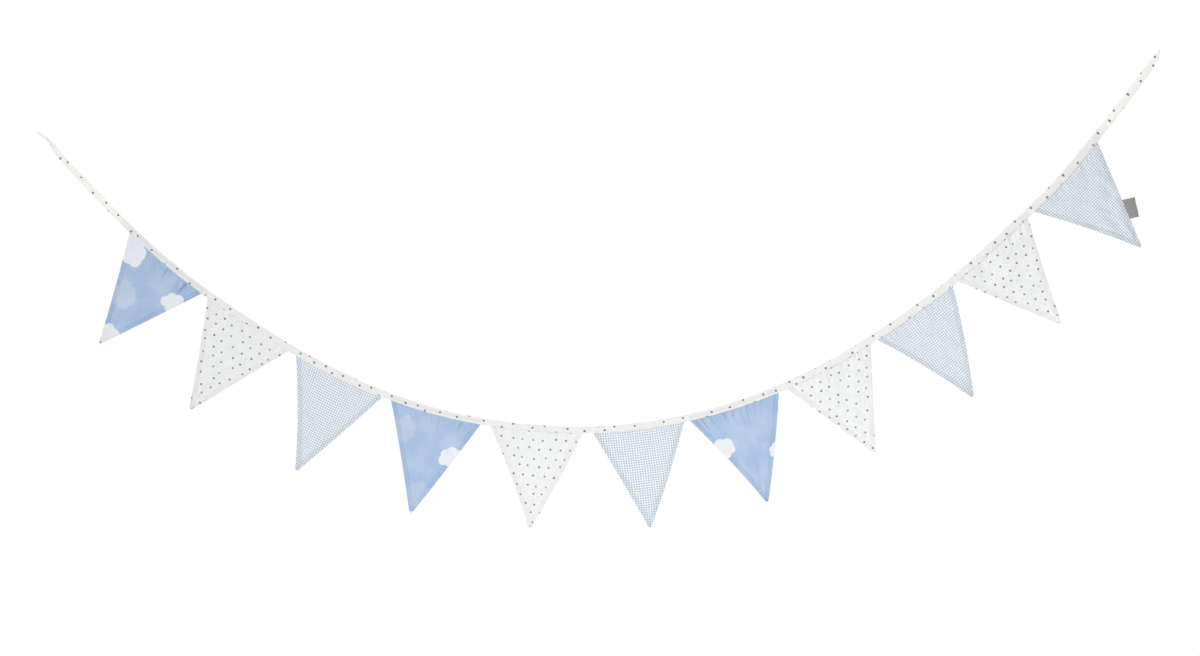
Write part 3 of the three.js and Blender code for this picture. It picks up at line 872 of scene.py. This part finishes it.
# What a colour mix reads and gives: its two colours and the mixed one
FIRST, SECOND, MIXED = 6, 7, 2
COLOUR = {"data_type": "RGBA"}
TINT = {"data_type": "RGBA", "blend_type": "MULTIPLY"}
SMOOTH = {"interpolation_type": "SMOOTHSTEP"}
WAVE_REPEAT = math.pi / 10  # of a wave texture whose scale is 1

DOT_ROWS = 0.87  # distance between rows of dots, as a share of the distance between dots
RIB_SPACING = 0.6 * MM
TWIST_SPACING = 0.25 * MM
TWIST_SLANT = 0.9  # radians
TAPE_PRINT_TURN = 37  # degrees between the tape's run and its rows of dots


def add_node(tree, kind, inputs=(), output=0, **settings):
    """Adds a shader node with its settings, sets or links its inputs, and gives one of its outputs."""
    node = tree.nodes.new(kind)
    for key, value in settings.items():
        setattr(node, key, value)
    for key, value in inputs.items() if isinstance(inputs, dict) else enumerate(inputs):
        if isinstance(value, bpy.types.NodeSocket):
            tree.links.new(value, node.inputs[key])
        else:
            node.inputs[key].default_value = value
    return node.outputs[output] if node.outputs else None


def new_material(name):
    """An empty node material, and the function that adds nodes to it."""
    material = bpy.data.materials.new(name)
    material.use_nodes = True
    material.node_tree.nodes.clear()
    return material, partial(add_node, material.node_tree)


def plain_weave(add, vector, spacing):
    """Height of threads that pass over and under each other, spacing metres apart. Poplin's threads lie
    about 0.3 mm apart, and are drawn twice as coarse so that they show."""
    scale = WAVE_REPEAT / spacing
    warp, weft = (
        add(WAVE, {"Vector": vector, "Scale": scale}, "Fac", bands_direction=axis) for axis in "XY"
    )
    over = add(CHECKER, {"Vector": vector, "Scale": 1 / spacing}, "Fac")
    return add(MIX, {0: over, 2: warp, 3: weft})


def printed_dots(add, vector, spacing, size, uneven=0.3):
    """1 on round dots in staggered rows that don't keep quite true, 0 between them."""
    row = DOT_ROWS * spacing
    dot_product = {"output": "Value", "operation": "DOT_PRODUCT"}
    across = add(VECTOR_MATH, (vector, (1 / spacing, -0.5 / row, 0)), **dot_product)
    down = add(VECTOR_MATH, (vector, (0, 1 / row, 0)), **dot_product)
    lattice = add(COMBINE, (across, down))
    cell = {"Vector": lattice, "Scale": 1.0, "Randomness": uneven}
    centre = add(VORONOI, cell, "Position", voronoi_dimensions="2D")
    off = add(VECTOR_MATH, (centre, lattice), operation="SUBTRACT")
    right = add(VECTOR_MATH, (off, (spacing, 0.5 * spacing, 0)), **dot_product)
    up = add(VECTOR_MATH, (off, (0, row, 0)), **dot_product)
    reach = add(VECTOR_MATH, [add(COMBINE, (right, up))], "Value", operation="LENGTH")
    lumps = add(NOISE, {"Vector": vector, "Scale": 1 / (1.1 * MM), "Detail": 2.0})
    fray, blur = 0.7 * MM, 0.3 * MM
    frayed = add(MATH, (lumps, fray, reach), operation="MULTIPLY_ADD")
    edge = (size + fray) / 2
    return add(MAP_RANGE, (frayed, edge - blur, edge + blur, 1, 0), **SMOOTH)


def finish_cloth(add, colour, vector, spacing, sheen):
    """Weave, with painted shade between its threads, slubs, mottling and sheen over a cloth's colour."""
    weave = plain_weave(add, vector, spacing)
    slubs = []
    for stretch in ((12, 0.5), (0.5, 12)):
        along = (1 / stretch[0], 1 / stretch[1], 1)
        drawn_out = add(VECTOR_MATH, (vector, along), operation="MULTIPLY")
        slubs.append(add(NOISE, {"Vector": drawn_out, "Scale": 1 / (1.2 * MM), "Detail": 1.0}))
    lumps = add(MATH, slubs, operation="ADD")
    mottle = add(NOISE, {"Vector": vector, "Scale": 1 / (16 * MM), "Detail": 3.0})
    uneven = add(MATH, (lumps, 0.35, mottle), operation="MULTIPLY_ADD")
    shade = add(MAP_RANGE, (uneven, 0.6, 1.1, 0.965, 1), **SMOOTH)
    # Painted shade between the threads: darker where the weave lies low
    threads = add(MAP_RANGE, (weave, 0, 0.7, 0.93, 1), **SMOOTH)
    value = add(MATH, (shade, threads), operation="MULTIPLY")
    grey = add(GREY, (value, value, value))
    height = add(MATH, (lumps, 0.5, weave), operation="MULTIPLY_ADD")
    shader = add(SHADER, {
        "Base Color": add(MIX, {0: 1, FIRST: colour, SECOND: grey}, MIXED, **TINT),
        "Roughness": 0.92,
        "Specular IOR Level": 0.2,
        "Sheen Weight": sheen,
        "Sheen Roughness": 0.5,
        "Normal": add(BUMP, {"Strength": 0.35, "Distance": 0.12 * MM, "Height": height}),
    })
    add(OUTPUT, {"Surface": shader})


def seam_band(add, sizes, colour, layers_and_shade_tint, line):
    """Tints the seam allowance along the sides, where the cloth is four layers thick: partly the thicker
    cloth's own colour, partly painted shade for the light from behind that gets through less. It also
    paints a shadow line where its raw edge ends inside."""
    from_edge = add(ATTRIBUTE, output="Fac", attribute_name="from_edge")
    inner = sizes.seam_allowance
    # The band of four layers; its tint is partly the cloth's own colour, partly painted shade
    layers_and_shade_band = add(MAP_RANGE, (from_edge, inner - 0.8 * MM, inner + 0.6 * MM, 1, 0), **SMOOTH)
    thick = add(MIX, {0: 1, FIRST: colour, SECOND: layers_and_shade_tint}, MIXED, **TINT)
    tinted = add(MIX, {0: layers_and_shade_band, FIRST: colour, SECOND: thick}, MIXED, **COLOUR)
    # A painted shadow line, where the raw edge of the seam allowance ends inside
    side = add(MATH, (from_edge, inner), operation="SUBTRACT")
    off = add(MATH, [side], operation="ABSOLUTE")
    raw_edge_shadow = add(MAP_RANGE, (off, 0.2 * MM, 1.3 * MM, line, 0), **SMOOTH)
    deeper = add(MIX, {0: 1, FIRST: tinted, SECOND: layers_and_shade_tint}, MIXED, **TINT)
    return add(MIX, {0: raw_edge_shadow, FIRST: tinted, SECOND: deeper}, MIXED, **COLOUR), layers_and_shade_band


def dotted_poplin(sizes, colours):
    """Printed cotton poplin: a smooth matt white ground with small soft-edged dots that lie in loose rows.
    The dots of the layer behind show through faintly between the seam allowances."""
    material, add = new_material("dotted_poplin_printed")
    vector = add(UV_MAP, uv_map="Cloth")
    dots = printed_dots(add, vector, sizes.dot_spacing, sizes.dot_size)
    layer_behind = add(VECTOR_MATH, (vector, (7.3 * MM, 5.1 * MM, 0)), operation="ADD")
    behind = printed_dots(add, layer_behind, sizes.dot_spacing, sizes.dot_size)
    # The seam band's tint is partly painted shade, and 0.55 is the strength of its painted shadow line
    ground, layers_and_shade_band = seam_band(add, sizes, colours.white_cotton, linear("#fbfbf8"), 0.55)
    shows = add(MATH, (layers_and_shade_band, -0.09, 0.11), operation="MULTIPLY_ADD")
    ghost = add(MATH, (behind, shows), operation="MULTIPLY")
    ghosted = add(MIX, {0: ghost, FIRST: ground, SECOND: colours.dot}, MIXED, **COLOUR)
    # Some dots took less ink than others
    blots = add(NOISE, {"Vector": vector, "Scale": 1 / (9 * MM), "Detail": 0.0})
    ink = add(MAP_RANGE, (blots, 0.3, 0.7, 0.72, 1), **SMOOTH)
    inked = add(MATH, (dots, ink), operation="MULTIPLY")
    colour = add(MIX, {0: inked, FIRST: ghosted, SECOND: colours.dot}, MIXED, **COLOUR)
    finish_cloth(add, colour, vector, sizes.thread_spacing, 0.15)
    return material


def tape_poplin(sizes, colours):
    """The same dotted poplin, cut as a strip and folded: blue pennants inside it show through its middle,
    its free ends, with nothing inside, are painted lighter for the light that comes through them from
    behind, and its turned lower edge is four layers thick."""
    material, add = new_material("dotted_poplin_tape")
    vector = add(UV_MAP, uv_map="Cloth")
    turned = add(MAPPING, {"Vector": vector, "Rotation": (0, 0, math.radians(TAPE_PRINT_TURN))})
    dots = printed_dots(add, turned, sizes.dot_spacing * 1.06, sizes.dot_size * 1.1, 0.45)
    above, inside, bare = (
        add(ATTRIBUTE, output="Fac", attribute_name=name) for name in ("above_edge", "blue_inside", "bare")
    )
    # Painted light: the bare free ends take a lighter colour for the light from behind that comes through
    # them
    white = add(MIX, {0: bare, FIRST: colours.tape_cotton, SECOND: colours.backlit_bare_tape}, MIXED, **COLOUR)
    lip = add(MIX, {0: 1, FIRST: white, SECOND: linear("#fffffd")}, MIXED, **TINT)
    past_lip = add(MAP_RANGE, (above, 2 * MM, 4 * MM), **SMOOTH)
    rim = add(MIX, {0: past_lip, FIRST: lip, SECOND: white}, MIXED, **COLOUR)
    shows = add(MATH, (inside, 0.19), operation="MULTIPLY")
    seen = add(MIX, {0: shows, FIRST: rim, SECOND: colours.sky}, MIXED, **COLOUR)
    inked = add(MATH, (dots, 0.95), operation="MULTIPLY")
    colour = add(MIX, {0: inked, FIRST: seen, SECOND: colours.dot}, MIXED, **COLOUR)
    finish_cloth(add, colour, vector, sizes.thread_spacing, 0.15)
    return material


def yarn_dyed_gingham(sizes, colours):
    """Yarn-dyed mini gingham: blue and white stripes of threads cross, so that the check has three tones,
    as strong on the back as on the front."""
    material, add = new_material("mini_gingham_yarn_dyed")
    vector = add(UV_MAP, uv_map="Cloth")
    repeat = sizes.check_repeat
    wavy = add(NOISE, {"Vector": vector, "Scale": 1 / (30 * MM), "Detail": 2.0})
    stripes = []
    for direction in ((1, 0, 0), (0, 1, 0)):
        along = add(VECTOR_MATH, (vector, direction), "Value", operation="DOT_PRODUCT")
        place = add(MATH, (wavy, 1.5 * MM, along), operation="MULTIPLY_ADD")
        saw = add(MATH, (place, repeat / 2), operation="PINGPONG")
        stripes.append(add(MAP_RANGE, (saw, 0.22 * repeat, 0.28 * repeat), **SMOOTH))
    crossed = add(MATH, stripes, operation="ADD")
    both = add(MATH, (crossed, 0.5), operation="MULTIPLY")
    check = add(
        MIX, {0: both, FIRST: colours.check_white, SECOND: colours.check_blue}, MIXED, **COLOUR
    )
    # The seam band's tint is partly painted shade, and 0.45 is the strength of its painted shadow line
    colour, _ = seam_band(add, sizes, check, linear("#f2f4f6"), 0.45)
    finish_cloth(add, colour, vector, sizes.thread_spacing, 0.12)
    return material


def cloud_shape_group():
    """A node group: how deep a place lies inside a cloud of round lobes whose half width is 1, and below 0
    outside it."""
    group = bpy.data.node_groups.new("Cloud of lobes", "ShaderNodeTree")
    group.interface.new_socket("Vector", in_out="INPUT", socket_type="NodeSocketVector")
    group.interface.new_socket("Depth", in_out="OUTPUT", socket_type="NodeSocketFloat")
    add = partial(add_node, group)
    place = add("NodeGroupInput")
    depths = []
    for lobe in CLOUD_LOBES:
        reach = add(VECTOR_MATH, (place, (lobe["x"], lobe["y"], 0)), "Value", operation="DISTANCE")
        depths.append(add(MATH, (lobe["radius"], reach), operation="SUBTRACT"))
    deepest = reduce(lambda one, other: add(MATH, (one, other), operation="MAXIMUM"), depths)
    add("NodeGroupOutput", [deepest])
    return group


def cloud_print_cotton(sizes, colours):
    """Printed cotton: white clouds of round lobes, and fainter ones, on a soft blue that is a little
    uneven like a watercolour wash. Four layers at the sides make the blue deeper there, with painted shade
    for the light that gets through them less."""
    material, add = new_material("cloud_print_cotton")
    vector = add(UV_MAP, uv_map="Cloth")
    pools = add(NOISE, {"Vector": vector, "Scale": 1 / (38 * MM), "Detail": 3.0})
    wash = add(MAP_RANGE, (pools, 0.35, 0.7, 0, 0.16), **SMOOTH)
    ground = add(MIX, {0: wash, FIRST: colours.sky, SECOND: colours.cloud}, MIXED, **COLOUR)
    group = cloud_shape_group()
    ragged = add(NOISE, {"Vector": vector, "Scale": 1 / (7 * MM), "Detail": 2.0})
    uneven = add(COMBINE, (ragged, ragged))
    strayed = add(VECTOR_MATH, (uneven, (2.2 * MM,) * 3, vector), operation="MULTIPLY_ADD")

    def with_clouds(colour, rows):
        for cloud in rows:
            across = cloud["side"] * CLOTH_REPEAT * cloud["pennant"] + cloud["x"] * MM
            up = CLOTH_REPEAT * (1 - cloud["side"]) - cloud["y"] * MM
            place = {
                "Vector": strayed,
                "Location": (across, up, 0),
                "Rotation": (0, 0, math.radians(cloud["turn"])),
                "Scale": (cloud["wide"] * MM,) * 3,
            }
            local = add(MAPPING, place, vector_type="TEXTURE")
            depth = add("ShaderNodeGroup", [local], node_tree=group)
            soft = cloud["soft"]
            share = add(MAP_RANGE, (depth, -soft, soft, 0, cloud["tone"]), **SMOOTH)
            colour = add(MIX, {0: share, FIRST: colour, SECOND: colours.cloud}, MIXED, **COLOUR)
        return colour

    # The seam's painted shade and shadow line fall on the pale clouds and hardly show through the white
    # ones
    pale = [cloud for cloud in CLOUDS if cloud["tone"] < 1]
    white = [cloud for cloud in CLOUDS if cloud["tone"] == 1]
    shade_banded, _ = seam_band(add, sizes, with_clouds(ground, pale), linear("#f3f5fa"), 0.9)
    finish_cloth(add, with_clouds(shade_banded, white), vector, sizes.thread_spacing, 0.12)
    return material


def finish_ribs(add, colour, tone, height, strength, depth, roughness):
    """A ribbed or twisted surface: its colour shaded by tone, its ribs by height and depth."""
    grey = add(GREY, (tone, tone, tone))
    shader = add(SHADER, {
        "Base Color": add(MIX, {0: 1, FIRST: colour, SECOND: grey}, MIXED, **TINT),
        "Roughness": roughness,
        "Sheen Weight": 0.2,
        "Normal": add(BUMP, {"Strength": strength, "Distance": depth, "Height": height}),
    })
    add(OUTPUT, {"Surface": shader})


def woven_ribbon(sizes, colours):
    """Woven polyester ribbon: tight grey ribs along its length with a faint satin gloss, and no lettering.
    Its ribs are 0.3 mm apart, and drawn twice as coarse so that they show, with painted shade between them."""
    material, add = new_material("grey_label_ribbon_woven")
    vector = add(UV_MAP, uv_map="Cloth")
    scale = WAVE_REPEAT / RIB_SPACING
    ribs = add(WAVE, {"Vector": vector, "Scale": scale}, "Fac", bands_direction="Y")
    picks = add(WAVE, {"Vector": vector, "Scale": scale * 0.5}, "Fac", bands_direction="X")
    height = add(MATH, (picks, 0.4, ribs), operation="MULTIPLY_ADD")
    lumps = add(NOISE, {"Vector": vector, "Scale": 1 / (3 * MM), "Detail": 2.0})
    uneven = add(MATH, (lumps, 0.8, height), operation="MULTIPLY_ADD")
    # Its tone: random unevenness, and painted shade in the hollows between the ribs
    tone = add(MAP_RANGE, (uneven, 0.2, 1.6, 0.86, 1.04), **SMOOTH)
    finish_ribs(add, colours.label, tone, height, 0.5, 0.15 * MM, 0.55)
    return material


def spun_thread(sizes, colours):
    """Spun polyester sewing thread: off-white, its twist seen as slanting lines of painted shade."""
    material, add = new_material("sewing_thread_spun")
    vector = add(UV_MAP, uv_map="Cloth")
    slanted = add(MAPPING, {"Vector": vector, "Rotation": (0, 0, TWIST_SLANT)})
    twist = add(WAVE, {"Vector": slanted, "Scale": WAVE_REPEAT / TWIST_SPACING}, "Fac")
    # Painted shade in the grooves of the twist
    tone = add(MAP_RANGE, (twist, 0, 1, 0.86, 1), **SMOOTH)
    finish_ribs(add, colours.thread, tone, twist, 0.4, 0.08 * MM, 0.6)
    return material


def matt_paint(colours):
    """Matt studio floor paint: pale and even, with no gloss."""
    material, add = new_material("floor_paint_matt")
    add(OUTPUT, {"Surface": add(SHADER, {"Base Color": colours.floor, "Roughness": 0.9})})
    return material


# Operators


def settings(context):
    return context.scene.bunting_sizes, context.scene.bunting_colours


def add_pennants_of(context, cloth, make_material):
    sizes, colours = settings(context)
    material = make_material(sizes, colours)
    for pennant in place_pennants():
        if pennant["cloth"] == cloth:
            add_pennant(pennant, sizes, material)
    return {"FINISHED"}


class BUNTING_OT_cloud_pennants(bpy.types.Operator):
    """Sews the pennants of blue cloud print"""

    bl_idname = "bunting.add_cloud_pennants"
    bl_label = "Cloud pennants"

    def execute(self, context):
        return add_pennants_of(context, "cloud", cloud_print_cotton)


class BUNTING_OT_dotted_pennants(bpy.types.Operator):
    """Sews the pennants of white dotted cotton"""

    bl_idname = "bunting.add_dotted_pennants"
    bl_label = "Dotted pennants"

    def execute(self, context):
        return add_pennants_of(context, "dots", dotted_poplin)


class BUNTING_OT_gingham_pennants(bpy.types.Operator):
    """Sews the pennants of light blue gingham"""

    bl_idname = "bunting.add_gingham_pennants"
    bl_label = "Gingham pennants"

    def execute(self, context):
        return add_pennants_of(context, "gingham", yarn_dyed_gingham)


class BUNTING_OT_tape(bpy.types.Operator):
    """Folds the dotted tape over the pennants and topstitches it"""

    bl_idname = "bunting.add_tape"
    bl_label = "Tape and topstitching"

    def execute(self, context):
        sizes, colours = settings(context)
        pennants = place_pennants()
        tape = add_tape(pennants, sizes, tape_poplin(sizes, colours))
        add_topstitching(pennants, sizes, tape, spun_thread(sizes, colours))
        return {"FINISHED"}


class BUNTING_OT_label(bpy.types.Operator):
    """Folds the bare label and sews it into the last pennant's side"""

    bl_idname = "bunting.add_label"
    bl_label = "Side label"

    def execute(self, context):
        sizes, colours = settings(context)
        add_label(place_pennants()[-1], sizes, woven_ribbon(sizes, colours))
        return {"FINISHED"}


# The photograph's frame, in metres: the middle of what the camera sees, and how wide it sees there
VIEW_CENTRE = (1.0116, 0, -0.3528)
VIEW_WIDTH = 2.16
CAMERA_AWAY = 6.0
SENSOR_WIDTH = 36  # mm
FLOOR_LEVEL = -1.14
FLOOR_HALF = (1.9, 1.4)  # it ends behind the bunting, below what the camera sees
WORLD_LIGHT = 0.26
# at: where the light hangs. size: its width. power: in watts.
LIGHTS = table("name at size power", [
    ("key_softbox", (-3.5, -4.5, 2.6), 2.0, 210),
    ("fill_softbox", (2.2, -3, -1), 0.8, 49),
    ("top_softbox", (1, 0.3, 3.2), 2.6, 50),
    ("back_softbox", (1.8, 4.4, 2), 2.4, 150),
])


def aim(thing, target):
    thing.rotation_euler = (Vector(target) - thing.location).to_track_quat("-Z", "Y").to_euler()


class BUNTING_OT_stage(bpy.types.Operator):
    """Sets up the floor, the soft lights, the white surround and the camera"""

    bl_idname = "bunting.add_stage"
    bl_label = "Stage"

    def execute(self, context):
        scene = context.scene
        _, colours = settings(context)
        half_x, half_y = FLOOR_HALF
        mesh = bpy.data.meshes.new("studio_floor")
        corners = [(-half_x, -half_y), (half_x, -half_y), (half_x, half_y), (-half_x, half_y)]
        points = [(VIEW_CENTRE[0] + x, y, FLOOR_LEVEL) for x, y in corners]
        mesh.from_pydata(points, [], [(0, 1, 2, 3)])
        mesh.materials.append(matt_paint(colours))
        floor = bpy.data.objects.new("studio_floor", mesh)
        scene.collection.objects.link(floor)

        for row in LIGHTS:
            light = bpy.data.lights.new(row["name"], "AREA")
            light.size = row["size"]
            light.energy = row["power"]
            lamp = bpy.data.objects.new(row["name"], light)
            lamp.location = row["at"]
            aim(lamp, VIEW_CENTRE)
            scene.collection.objects.link(lamp)

        # The surround is white to look at, and lights the cloth a little less than it looks
        world = bpy.data.worlds.new("studio_surround")
        world.use_nodes = True
        world.node_tree.nodes.clear()
        add = partial(add_node, world.node_tree)
        light, seen = (
            add("ShaderNodeBackground", {"Color": (1, 1, 1, 1), "Strength": strength})
            for strength in (WORLD_LIGHT, 1.0)
        )
        seen_directly = add("ShaderNodeLightPath", output="Is Camera Ray")
        both = add("ShaderNodeMixShader", (seen_directly, light, seen))
        add("ShaderNodeOutputWorld", {"Surface": both})
        scene.world = world
        scene.view_settings.view_transform = "Standard"

        camera = bpy.data.cameras.new("photo_camera")
        camera.sensor_width = SENSOR_WIDTH
        camera.lens = SENSOR_WIDTH * CAMERA_AWAY / VIEW_WIDTH
        eye = bpy.data.objects.new("photo_camera", camera)
        eye.location = (VIEW_CENTRE[0], -CAMERA_AWAY, VIEW_CENTRE[2])
        aim(eye, VIEW_CENTRE)
        scene.collection.objects.link(eye)
        scene.camera = eye
        return {"FINISHED"}


class BUNTING_PT_panel(bpy.types.Panel):
    """The bunting's pieces, sizes and colours"""

    bl_label = "Flag bunting"
    bl_idname = "BUNTING_PT_panel"
    bl_space_type = "VIEW_3D"
    bl_region_type = "UI"
    bl_category = "Bunting"

    def draw(self, context):
        layout = self.layout
        for operator in OPERATORS:
            layout.operator(operator.bl_idname)
        for group in settings(context):
            box = layout.box()
            for name in group.__annotations__:
                box.prop(group, name)


OPERATORS = (
    BUNTING_OT_stage,
    BUNTING_OT_cloud_pennants,
    BUNTING_OT_dotted_pennants,
    BUNTING_OT_gingham_pennants,
    BUNTING_OT_tape,
    BUNTING_OT_label,
)
CLASSES = (BuntingSizes, BuntingColours, *OPERATORS, BUNTING_PT_panel)


def register():
    for each in CLASSES:
        bpy.utils.register_class(each)
    bpy.types.Scene.bunting_sizes = PointerProperty(type=BuntingSizes)
    bpy.types.Scene.bunting_colours = PointerProperty(type=BuntingColours)


def unregister():
    del bpy.types.Scene.bunting_colours
    del bpy.types.Scene.bunting_sizes
    for each in reversed(CLASSES):
        bpy.utils.unregister_class(each)


def main():
    register()
    bpy.ops.bunting.add_stage()
    bpy.ops.bunting.add_cloud_pennants()
    bpy.ops.bunting.add_dotted_pennants()
    bpy.ops.bunting.add_gingham_pennants()
    bpy.ops.bunting.add_tape()
    bpy.ops.bunting.add_label()


if __name__ == "__main__":
    main()
